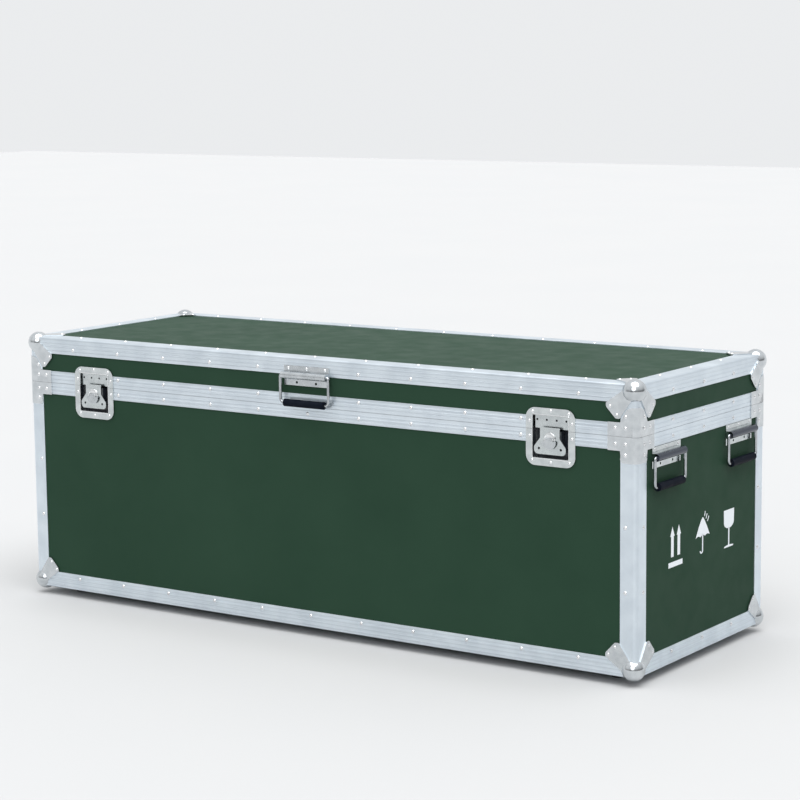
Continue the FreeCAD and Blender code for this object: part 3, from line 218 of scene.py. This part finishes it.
def metal(name, tones, grain, spots, roughness, bump, ribs=None, sunk=None, barrel=None):
    """A metal with directional grain, cloudy roughness and rubbed edges.

    tones are its clean, dull and rubbed colours. grain stretches the brushing, and spots is the scale of
    the cloudy patches. ribs is the strength of the grooves and the two axes across a ribbed extrusion; the
    grooves are darkened in colour as painted shade. sunk is the depths in Y between which a recess gets
    painted shade, how dark it gets, and how much less dark its walls that face along X are; the painted
    shade also makes the metal less metallic. barrel is the distances from the middle in X between which a
    painted dark reflection darkens the metal.
    """
    shader = Shader(name)
    clean, dull, rubbed = tones
    low, high = roughness
    cloud = shader.noise(spots, 4.0)
    tone = shader.mix(shader.ramp(cloud, [(0.35, 0.0), (0.65, 1.0)]), dull, clean)
    tone = shader.mix(shader.math("MULTIPLY", shader.worn_edges(), EDGE_WEAR), tone, rubbed)
    height = None
    if ribs:
        strength, first, second = ribs
        lines = [shader.grooves(first, RIB_PITCH), shader.grooves(second, RIB_PITCH)]
        seen = [shader.math("MULTIPLY", lines[0], shader.facing(second)),
                shader.math("MULTIPLY", lines[1], shader.facing(first))]
        groove = shader.math("MAXIMUM", *seen)
        # Painted shade: the grooves darkened in colour
        tone = shader.mix(shader.math("MULTIPLY", groove, RIB_SHADE * strength), tone, RIB_SHADE_COLOUR)
        height = shader.bump(shader.math("SUBTRACT", 0, groove), RIB_BUMP * strength, 0.0003)
    # Painted shade: a recess darkened in colour with depth, and made less metallic
    if sunk:
        start, end, share, spare = sunk
        spared = shader.math("MULTIPLY", shader.facing("X"), spare)
        depth = shader.between(shader.along("Y"), start, end)
        painted_shade = shader.math("MULTIPLY", depth, shader.math("SUBTRACT", share, spared))
        tone = shader.mix(painted_shade, tone, PAINTED_SHADE_TONE)
        shader.drive("Metallic", shader.math("SUBTRACT", 1, painted_shade))
    # Painted dark reflection: the side handles' barrels darkened in colour
    if barrel:
        from_middle = shader.math("ABSOLUTE", shader.along("X"), 0)
        painted_reflection = shader.math("MULTIPLY", shader.between(from_middle, *barrel), PAINTED_REFLECTION_SHARE)
        tone = shader.mix(painted_reflection, tone, PAINTED_REFLECTION_TONE)
    shader.drive("Base Color", tone)
    streaks = shader.noise(900.0, 3.0, grain, 0.6)
    patches = shader.ramp(cloud, [(0.3, low), (0.7, high)])
    shader.drive("Roughness", shader.mix(0.5, patches, shader.ramp(streaks, [(0.3, low), (0.7, high)])))
    shader.drive("Normal", shader.bump(streaks, bump, 0.00006, height))
    shader.set(Metallic=1.0)
    return shader.material


BRUSHED, PLATED, PRESSED = 0.12, 0.05, 0.06  # how strong the streaks' bump is


def extrusion_metal(name, grain, ribs=None):
    """Clear anodised aluminium, brushed along the extrusion."""
    tones = (0.755, 0.825, 0.880), (0.665, 0.735, 0.795), (0.87, 0.91, 0.95)
    return metal(name, tones, grain, 26.0, (0.34, 0.47), BRUSHED, ribs=ribs)


def rubber(name, colour, roughness, pebble, gloss):
    """Moulded rubber with a fine pebble and a little dust."""
    shader = Shader(name)
    low, high = roughness
    dusty = (0.04, 0.045, 0.055)
    dust = shader.ramp(shader.noise(45.0, 5.0), [(0.45, 0.0), (0.75, 1.0)])
    shader.drive("Base Color", shader.mix(shader.math("MULTIPLY", dust, 0.12), colour, dusty))
    shader.drive("Roughness", shader.ramp(shader.noise(60.0, 4.0), [(0.3, low), (0.7, high)]))
    shader.drive("Normal", shader.bump(shader.noise(pebble, 2.0), 0.3, 0.0001))
    shader.set(Specular_IOR_Level=gloss)
    return shader.material


def foam():
    """Closed-cell foam sheet: matt, with fine open pores."""
    shader = Shader("foam_lining")
    cells = shader.node("ShaderNodeTexVoronoi")
    cells.inputs["Scale"].default_value = 900.0
    shader.link(shader.place, cells.inputs["Vector"])
    deep, pale = (0.018, 0.019, 0.021), (0.034, 0.036, 0.039)
    shader.drive("Base Color", shader.mix(shader.noise(12.0, 4.0), deep, pale))
    shader.drive("Normal", shader.bump(cells.outputs["Distance"], 0.5, 0.0003))
    shader.set(Roughness=0.88, Sheen_Weight=0.15)
    return shader.material


def paint():
    """White stencilled paint, a little thin and chipped."""
    shader = Shader("white_mark")
    wear = shader.ramp(shader.noise(420.0, 6.0, roughness=0.7), [(0.30, 1.0), (0.36, 0.0)])
    fresh, chipped = (0.80, 0.84, 0.88), (0.30, 0.36, 0.33)
    shader.drive("Base Color", shader.mix(shader.math("MULTIPLY", wear, 0.45), fresh, chipped))
    shader.drive("Normal", shader.bump(shader.noise(1300.0, 2.0), 0.2, 0.0001))
    shader.set(Roughness=0.5)
    return shader.material


LAMINATE = laminate()
ALUMINIUM_X = extrusion_metal("aluminium_long", (0.02, 1.0, 1.0), (0.45, "Z", "Y"))
ALUMINIUM_Y = extrusion_metal("aluminium_short", (1.0, 0.02, 1.0), (0.3, "Z", "X"))
ALUMINIUM_Z = extrusion_metal("aluminium_upright", (1.0, 1.0, 0.02))

# Tones are the clean, dull and rubbed colours
SHEET_GRAIN, PAN_GRAIN, EVEN_GRAIN = (1.0, 1.0, 0.15), (1.0, 1.0, 0.2), (1.0, 1.0, 1.0)
ZINC_TONES = (0.60, 0.63, 0.65), (0.48, 0.51, 0.53), (0.86, 0.88, 0.89)
PAN_TONES = (0.66, 0.695, 0.70), (0.54, 0.575, 0.585), (0.90, 0.92, 0.92)
COVER_TONES = (0.62, 0.66, 0.665), (0.51, 0.545, 0.555), (0.88, 0.90, 0.90)
WIRE_TONES = (0.50, 0.52, 0.54), (0.38, 0.40, 0.42), (0.84, 0.86, 0.88)
CORNER_TONES = (0.66, 0.69, 0.71), (0.54, 0.57, 0.59), (0.90, 0.91, 0.92)
BRIGHT_TONES = (0.80, 0.815, 0.825), (0.70, 0.715, 0.72), (0.95, 0.95, 0.95)
RIVET_TONES = (0.84, 0.85, 0.865), (0.74, 0.755, 0.77), (0.95, 0.95, 0.95)

# Where each recess gets painted shade: the depths in Y, how dark, and how much less on walls that face
# along X
PAN_PAINTED_SHADE = (FRONT + 6 * MM, FRONT + 12 * MM, 0.97, 0.6)
LID_PAN_PAINTED_SHADE = (FRONT + 6 * MM, FRONT + 12 * MM, 0.55, 0.4)
COVER_PAINTED_SHADE = (FRONT - 1 * MM, FRONT + 3 * MM, 0.97, 0.0)
KEEPER_PAINTED_SHADE = (FRONT + 4.7 * MM, FRONT + 9 * MM, 0.97, 0.0)
# The distances from the middle in X over which the side handles' barrels get a painted dark reflection
BARREL_REFLECTION_REACH = (RIGHT + 2.5 * MM, RIGHT + 6 * MM)

ZINC = metal("zinc_hardware", ZINC_TONES, SHEET_GRAIN, 60.0, (0.20, 0.36), BRUSHED)
PAN = metal("latch_pan", PAN_TONES, PAN_GRAIN, 80.0, (0.14, 0.28), PLATED, sunk=PAN_PAINTED_SHADE)
LID_PAN = metal("lid_latch_pan", PAN_TONES, PAN_GRAIN, 80.0, (0.14, 0.28), PLATED, sunk=LID_PAN_PAINTED_SHADE)
COVER = metal("latch_cover", COVER_TONES, PAN_GRAIN, 80.0, (0.18, 0.34), PLATED, sunk=COVER_PAINTED_SHADE)
KEEPER = metal("latch_keeper", COVER_TONES, PAN_GRAIN, 80.0, (0.18, 0.34), PLATED, sunk=KEEPER_PAINTED_SHADE)
WIRE = metal("bail_wire", WIRE_TONES, EVEN_GRAIN, 90.0, (0.14, 0.28), PLATED)
SIDE_PLATE = metal(
    "side_handle_plate", COVER_TONES, PAN_GRAIN, 80.0, (0.10, 0.24), PLATED, barrel=BARREL_REFLECTION_REACH
)
CORNER = metal("corner_steel", CORNER_TONES, EVEN_GRAIN, 70.0, (0.08, 0.22), PRESSED)
BRIGHT = metal("bright_plate", BRIGHT_TONES, EVEN_GRAIN, 90.0, (0.10, 0.22), PLATED)
RIVET = metal("rivet", RIVET_TONES, EVEN_GRAIN, 120.0, (0.16, 0.30), PLATED)

GRIP = rubber("grip_rubber", (0.0045, 0.0065, 0.0125), (0.46, 0.58), 1400.0, 0.04)
FOOT = rubber("foot_rubber", (0.012, 0.012, 0.013), (0.60, 0.75), 900.0, 0.4)
FOAM = foam()
PAINT = paint()


def material_of(name):
    """The material of a CAD node, from its name."""
    if name.endswith("_panel"):
        return LAMINATE
    if "lining" in name:
        return FOAM
    if name == "keeper_dishes":
        return LID_PAN
    if "dish" in name:
        return PAN
    if name.endswith("_handle_plate") and name != "front_handle_plate":
        return SIDE_PLATE
    if "cover" in name:
        return COVER
    if "strikes" in name or "hook" in name:
        return KEEPER
    if name.endswith("_bail"):
        return WIRE
    if "corner_posts" in name:
        return ALUMINIUM_Z
    if name.endswith("_long"):
        return ALUMINIUM_X
    if name.endswith("_short"):
        return ALUMINIUM_Y
    if "rivets" in name or "screws" in name:
        return RIVET
    if "ball_corners" in name or "braces" in name:
        return CORNER
    if name.endswith("_grip"):
        return GRIP
    if name == "rubber_feet":
        return FOOT
    if any(word in name for word in ("cam", "pins")):
        return BRIGHT
    return ZINC


WELD_REACH = 0.000005
SHARP_ANGLE, TURNED_SHARP_ANGLE = math.radians(28), math.radians(35)


def dress(name):
    """Gives a CAD node its material and smooth shading over gentle angles."""
    thing = nodes[name]
    thing.data.materials.clear()
    thing.data.materials.append(material_of(name))
    thing.data.polygons.foreach_set("use_smooth", [True] * len(thing.data.polygons))
    thing.modifiers.new("weld", "WELD").merge_threshold = WELD_REACH
    thing.modifiers.new("sharp", "EDGE_SPLIT").split_angle = SHARP_ANGLE


for node_name in nodes:
    dress(node_name)


# ---------------------------------------------------------------- new pieces


def piece(name, mesh_builder, material, body):
    """A new piece from a bmesh that mesh_builder fills."""
    work = bmesh.new()
    mesh_builder(work)
    mesh = bpy.data.meshes.new(name)
    work.to_mesh(mesh)
    work.free()
    thing = bpy.data.objects.new(name, mesh)
    bpy.context.scene.collection.objects.link(thing)
    mesh.materials.append(material)
    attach(thing, body)
    return thing


# The painted marks on the right panel: the paint's thickness, and where the marks stand
MARK_RISE = 0.00025
MARK_PITCH = 0.095
MARK_FIRST = FRONT + 0.1265
MARK_FOOT = UNDER + 0.1564


def mark_prism(work, outline):
    """A thin plate on the right panel from (y, z) points in order."""
    low = [work.verts.new((SIDE_PANEL, y, z)) for y, z in outline]
    high = [work.verts.new((SIDE_PANEL + MARK_RISE, y, z)) for y, z in outline]
    count = len(outline)
    work.faces.new(high)
    work.faces.new(list(reversed(low)))
    for index in range(count):
        after = (index + 1) % count
        work.faces.new((low[index], low[after], high[after], high[index]))


def arc(centre_y, centre_z, radius_y, radius_z, start, end, steps):
    """Points of an elliptic arc; start and end are in degrees."""
    points = []
    for step in range(steps + 1):
        angle = math.radians(start + (end - start) * step / steps)
        points.append((centre_y + radius_y * math.cos(angle), centre_z + radius_z * math.sin(angle)))
    return points


def shifted(points, y, z):
    return [(point[0] + y, point[1] + z) for point in points]


def arrows_mark(work):
    """Two upright arrows over a bar."""
    y, z = MARK_FIRST + 0.003, MARK_FOOT
    half, thickness = 0.0235, 0.0083
    bar = [(y - half, z), (y + half, z), (y + half, z + thickness), (y - half, z + thickness)]
    mark_prism(work, bar)
    arrow = [(-0.0043, 0.0166), (0.0043, 0.0166), (0.0043, 0.050), (0.0072, 0.050), (0.0, 0.0655)]
    arrow += [(-0.0072, 0.050), (-0.0043, 0.050)]
    for side in (-0.0108, 0.0108):
        mark_prism(work, shifted(arrow, y + side, z))


def umbrella_mark(work):
    """An open umbrella with a pointed canopy, under slanting rain."""
    y, z = MARK_FIRST + MARK_PITCH + 0.0012, MARK_FOOT
    half, brim, dome, scallop, columns = 0.0245, 0.0315, 0.032, 0.0022, 24
    for column in range(columns):
        near, far = [half * (2 * edge / columns - 1) for edge in (column, column + 1)]
        top = [brim + dome * (1 - (abs(across) / half) ** 1.25) for across in (near, far)]
        arch = [scallop * abs(math.sin(1.5 * math.pi * (across / half + 1))) for across in (near, far)]
        low = [min(brim + rise, peak) for rise, peak in zip(arch, top)]
        mark_prism(work, shifted([(near, low[0]), (far, low[1]), (far, top[1]), (near, top[0])], y, z))
    stem = [(0.0016, 0.035), (-0.0016, 0.035)]
    hook = arc(-0.0040, 0.0085, 0.0024, 0.0026, 0, -180, 12)
    hook_outer = arc(-0.0040, 0.0085, 0.0056, 0.0049, -180, 0, 12)
    mark_prism(work, shifted(stem + hook + hook_outer, y, z))
    rain = (0.0055, 0.0645, 0.0022), (0.0105, 0.0595, 0.0040), (0.0155, 0.0545, 0.0052)
    for foot_y, foot_z, lean in rain:
        stroke = [(foot_y, foot_z), (foot_y + 0.0017, foot_z - 0.0008)]
        stroke += [(foot_y + lean + 0.0017, foot_z + 0.0070), (foot_y + lean, foot_z + 0.0078)]
        mark_prism(work, shifted(stroke, y, z))


def goblet_mark(work):
    """A goblet."""
    y, z = MARK_FIRST + 2 * MARK_PITCH, MARK_FOOT
    bowl = arc(0.0, 0.0395, 0.0178, 0.0102, 180, 360, 18)
    mark_prism(work, shifted([(0.0185, 0.0605), (-0.0185, 0.0605), *bowl], y, z))
    foot = [(-0.0020, 0.030), (-0.0020, 0.0012), (-0.016, -0.0003), (-0.016, -0.0025), (0.016, -0.0025)]
    foot += [(0.016, -0.0003), (0.0020, 0.0012), (0.0020, 0.030)]
    mark_prism(work, shifted(foot, y, z))


for mark_name, builder in (("arrows", arrows_mark), ("umbrella", umbrella_mark), ("goblet", goblet_mark)):
    piece(f"mark_{mark_name}", builder, PAINT, "base")


LATHE_STEPS, BEAD_SIDES = 40, 10


def lathe(work, profile, place):
    """A turned ring whose axis points to -Y; profile is a closed loop of (radius, forward)."""
    steps = LATHE_STEPS
    rings = []
    for radius, forward in profile:
        ring = []
        for step in range(steps):
            angle = 2 * math.pi * step / steps
            across, up = radius * math.cos(angle), radius * math.sin(angle)
            ring.append(work.verts.new((place[0] + across, place[1] - forward, place[2] + up)))
        rings.append(ring)
    for near, far in zip(rings, rings[1:] + rings[:1]):
        for step in range(steps):
            after = (step + 1) % steps
            work.faces.new((near[step], near[after], far[after], far[step]))
    bmesh.ops.recalc_face_normals(work, faces=work.faces)


def bead(work, path, radius):
    """A round bar along a path of points in one XZ plane, closed at both ends."""
    sides, outward = BEAD_SIDES, Vector((0, 1, 0))
    points = [Vector(point) for point in path]
    rings = []
    for index, point in enumerate(points):
        before, after = points[max(index - 1, 0)], points[min(index + 1, len(points) - 1)]
        along = (after - before).normalized()
        across = along.cross(outward).normalized()
        ring = []
        for step in range(sides):
            angle = 2 * math.pi * step / sides
            spoke = math.cos(angle) * across + math.sin(angle) * outward
            ring.append(work.verts.new(point + radius * spoke))
        rings.append(ring)
    for near, far in zip(rings, rings[1:]):
        for step in range(sides):
            after = (step + 1) % sides
            work.faces.new((near[step], near[after], far[after], far[step]))
    work.faces.new(rings[0])
    work.faces.new(rings[-1])
    bmesh.ops.recalc_face_normals(work, faces=work.faces)


def smooth(thing):
    """Rounds the shading of a turned piece, except over sharp edges."""
    thing.data.polygons.foreach_set("use_smooth", [True] * len(thing.data.polygons))
    thing.modifiers.new("sharp", "EDGE_SPLIT").split_angle = TURNED_SHARP_ANGLE


LATCH_SEAM = (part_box("latch_dish_right")[1].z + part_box("keeper_dishes")[0].z) / 2

RIDGE_HALF, RIDGE_RISE, RIDGE_ROOT = 0.65 * MM, 0.3 * MM, 0.1 * MM


def ridge(work, start, end, out):
    """A low ridge with sloping sides, from start to end on a face whose normal is out."""
    half, rise, root = RIDGE_HALF, RIDGE_RISE, RIDGE_ROOT
    start, end, out = Vector(start), Vector(end), Vector(out)
    side = (end - start).normalized().cross(out)
    section = [(-half, -root), (-half, 0.0), (-half * 0.5, rise)]
    section += [(half * 0.5, rise), (half, 0.0), (half, -root)]
    rings = []
    for place in (start, end):
        rings.append([work.verts.new(place + across * side + up * out) for across, up in section])
    for step in range(len(section)):
        after = (step + 1) % len(section)
        work.faces.new((rings[0][step], rings[0][after], rings[1][after], rings[1][step]))
    work.faces.new(rings[0])
    work.faces.new(rings[1])
    bmesh.ops.recalc_face_normals(work, faces=work.faces)


RIB_SHARES = (0.24, 0.48, 0.72)  # of an extrusion's height
SEAM_CLEAR = 0.9 * MM
POST_COVER, PAN_COVER = 25 * MM, 7 * MM  # how far ribs stop from a corner, and run under a pan's edge


def extrusion_ribs():
    """The fine ribs along the long extrusions, front and back, left out where the latch pans are."""
    seam, latch = LATCH_SEAM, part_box("latch_dish_right")
    end, pan_low, pan_high = RIGHT - POST_COVER, latch[0].x + PAN_COVER, latch[1].x - PAN_COVER
    whole = [(-end, end)]
    beside = [(-end, -pan_high), (-pan_low, pan_low), (pan_high, end)]
    bands = {
        "bottom": (UNDER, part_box("bottom_edges_long")[1].z, whole, "base"),
        "tongue": (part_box("tongue_rims_long")[0].z, seam - SEAM_CLEAR, beside, "base"),
        "groove": (seam + SEAM_CLEAR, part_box("groove_rims_long")[1].z, beside, "lid"),
        "top": (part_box("top_edges_long")[0].z, OVER, whole, "lid"),
    }
    for name, (low, high, stretches, body) in bands.items():

        def build(work, low=low, high=high, stretches=stretches):
            for share in RIB_SHARES:
                z = low + share * (high - low)
                for near, far in stretches:
                    ridge(work, (near, FRONT, z), (far, FRONT, z), (0, -1, 0))
                ridge(work, (-end, BACK, z), (end, BACK, z), (0, 1, 0))

        piece(f"ribs_{name}", build, ALUMINIUM_X, body)


KNOB_BELOW_WING, KNOB_PROUD = 1.9 * MM, 0.8 * MM


def knob_rings():
    """A rolled rim on each turning knob."""
    profile = [(10.4, -0.3), (10.4, 0.3), (10.1, 0.75), (9.4, 1.05), (8.4, 0.85), (7.7, 0.3), (7.6, -0.3)]
    for side in ("left", "right"):
        low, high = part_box(f"latch_cam_{side}")
        middle_x = (low.x + high.x) / 2
        # The wing hangs from an axle across the disc's middle, so its top is just above the knob's level
        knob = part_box(f"latch_wing_{side}")[1].z - KNOB_BELOW_WING
        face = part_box(f"latch_cover_{side}")[0].y - KNOB_PROUD

        def build(work, centre=(middle_x, face, knob)):
            rings = [(radius * MM, forward * MM) for radius, forward in profile]
            lathe(work, rings, centre)

        smooth(piece(f"knob_rim_{side}", build, BRIGHT, f"cam_{side}"))


knob_rings()


BORDER_HALF, BORDER_BELOW, BORDER_ABOVE = 33.6 * MM, 46.6 * MM, 23.6 * MM
BORDER_TURN, BORDER_RADIUS, BORDER_PROUD, BORDER_GAP = 2.5 * MM, 0.8 * MM, 0.1 * MM, 1.0 * MM


def pan_borders():
    """The rolled edge round each latch pan, one half on the base and one on the lid."""
    for side in ("left", "right"):
        low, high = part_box(f"latch_dish_{side}")
        middle = (low.x + high.x) / 2
        half, below, above, turn = BORDER_HALF, BORDER_BELOW, BORDER_ABOVE, BORDER_TURN
        depth = low.y - BORDER_PROUD

        def corner(across, up, start):
            steps = [math.radians(start + 15 * step) for step in range(7)]
            return [(across + turn * math.cos(angle), up + turn * math.sin(angle)) for angle in steps]

        lower = [(-half, -BORDER_GAP), *corner(-half + turn, -below + turn, 180)]
        lower += [*corner(half - turn, -below + turn, 270), (half, -BORDER_GAP)]
        upper = [(half, BORDER_GAP), *corner(half - turn, above - turn, 0)]
        upper += [*corner(-half + turn, above - turn, 90), (-half, BORDER_GAP)]
        for part, outline_points, body in (("base", lower, "base"), ("lid", upper, "lid")):
            path = [(middle + across, depth, LATCH_SEAM + up) for across, up in outline_points]

            def build(work, path=path):
                bead(work, path, BORDER_RADIUS)

            smooth(piece(f"pan_border_{side}_{part}", build, BRIGHT, body))


pan_borders()
extrusion_ribs()


# ---------------------------------------------------------------- stage, light and camera


def floor():
    """A plain pale floor."""
    mesh = bpy.data.meshes.new("floor")
    reach = 14.0
    corners = [(-reach, -reach, 0), (reach, -reach, 0), (reach, reach, 0), (-reach, reach, 0)]
    mesh.from_pydata(corners, [], [(0, 1, 2, 3)])
    thing = bpy.data.objects.new("floor", mesh)
    bpy.context.scene.collection.objects.link(thing)
    shader = Shader("floor")
    tone = shader.mix(shader.noise(1.5, 3.0), (0.520, 0.525, 0.53), (0.540, 0.540, 0.540))
    shader.drive("Base Color", tone)
    shader.set(Roughness=0.75, Specular_IOR_Level=0.2)
    mesh.materials.append(shader.material)


def soft_sun(name, towards, strength, spread):
    """A wide, even light from one direction, so that the floor is lit alike near and far."""
    light = bpy.data.lights.new(name, "SUN")
    light.energy = strength
    light.angle = math.radians(spread)
    thing = bpy.data.objects.new(name, light)
    bpy.context.scene.collection.objects.link(thing)
    thing.rotation_euler = (-Vector(towards)).to_track_quat("-Z", "Y").to_euler()


def world():
    """Soft studio surround: bright overhead and behind, dim near the horizon in front and to the right."""
    surround = bpy.data.worlds.new("studio")
    bpy.context.scene.world = surround
    surround.use_nodes = True
    tree = surround.node_tree
    coordinates = tree.nodes.new("ShaderNodeTexCoord")

    def ramp_along(direction, stops):
        product = tree.nodes.new("ShaderNodeVectorMath")
        product.operation = "DOT_PRODUCT"
        tree.links.new(coordinates.outputs["Generated"], product.inputs[0])
        product.inputs[1].default_value = direction
        shift = tree.nodes.new("ShaderNodeMapRange")
        tree.links.new(product.outputs["Value"], shift.inputs["Value"])
        shift.inputs["From Min"].default_value = -1.0
        ramp = tree.nodes.new("ShaderNodeValToRGB")
        tree.links.new(shift.outputs["Result"], ramp.inputs["Fac"])
        elements = ramp.color_ramp.elements
        while len(elements) < len(stops):
            elements.new(0.5)
        for element, (position, level) in zip(elements, stops):
            element.position = position
            element.color = (level * 0.97, level * 0.985, level, 1)
        return ramp.outputs["Color"]

    height = ramp_along((0, 0, 1), [(0.0, 0.36), (0.50, 0.30), (0.55, 0.16), (0.62, 0.55), (0.85, 1.0)])
    away = ramp_along((-0.57, 0.82, 0.0), [(0.0, 0.0), (0.42, 0.0), (0.66, 0.90)])
    join = tree.nodes.new("ShaderNodeMix")
    join.data_type, join.blend_type = "RGBA", "LIGHTEN"
    join.inputs["Factor"].default_value = 1.0
    tree.links.new(height, join.inputs[COLOUR_A])
    tree.links.new(away, join.inputs[COLOUR_B])
    tree.links.new(join.outputs[COLOUR_RESULT], tree.nodes["Background"].inputs["Color"])
    tree.nodes["Background"].inputs["Strength"].default_value = 0.95


CAMERA_AZIMUTH = 34.51
CAMERA_ELEVATION = 8.49
CAMERA_ROLL = 0.61
CAMERA_LENS = 107.05
CAMERA_PLACE = Vector((LEFT + 2.9982, FRONT - 3.1694, UNDER + 0.9811))


def camera():
    """The camera at the front right, looking a little down."""
    data = bpy.data.cameras.new("camera")
    data.lens = CAMERA_LENS
    data.sensor_width = 36.0
    data.clip_end = 100.0
    thing = bpy.data.objects.new("camera", data)
    bpy.context.scene.collection.objects.link(thing)
    azimuth, elevation = math.radians(CAMERA_AZIMUTH), math.radians(CAMERA_ELEVATION)
    level = math.cos(elevation)
    forward = Vector((-math.sin(azimuth) * level, math.cos(azimuth) * level, -math.sin(elevation)))
    turn = forward.to_track_quat("-Z", "Y").to_matrix()
    roll = Matrix.Rotation(math.radians(CAMERA_ROLL), 3, forward)
    thing.matrix_world = Matrix.Translation(CAMERA_PLACE) @ (roll @ turn).to_4x4()
    bpy.context.scene.camera = thing


floor()
world()
camera()
soft_sun("overhead", (0.20, -0.20, 1.0), 2.6, 60)
soft_sun("front", (0.35, -1.0, 0.55), 0.52, 40)
soft_sun("left", (-0.62, -0.78, 0.05), 0.16, 60)
bpy.context.scene.view_settings.view_transform = "Standard"
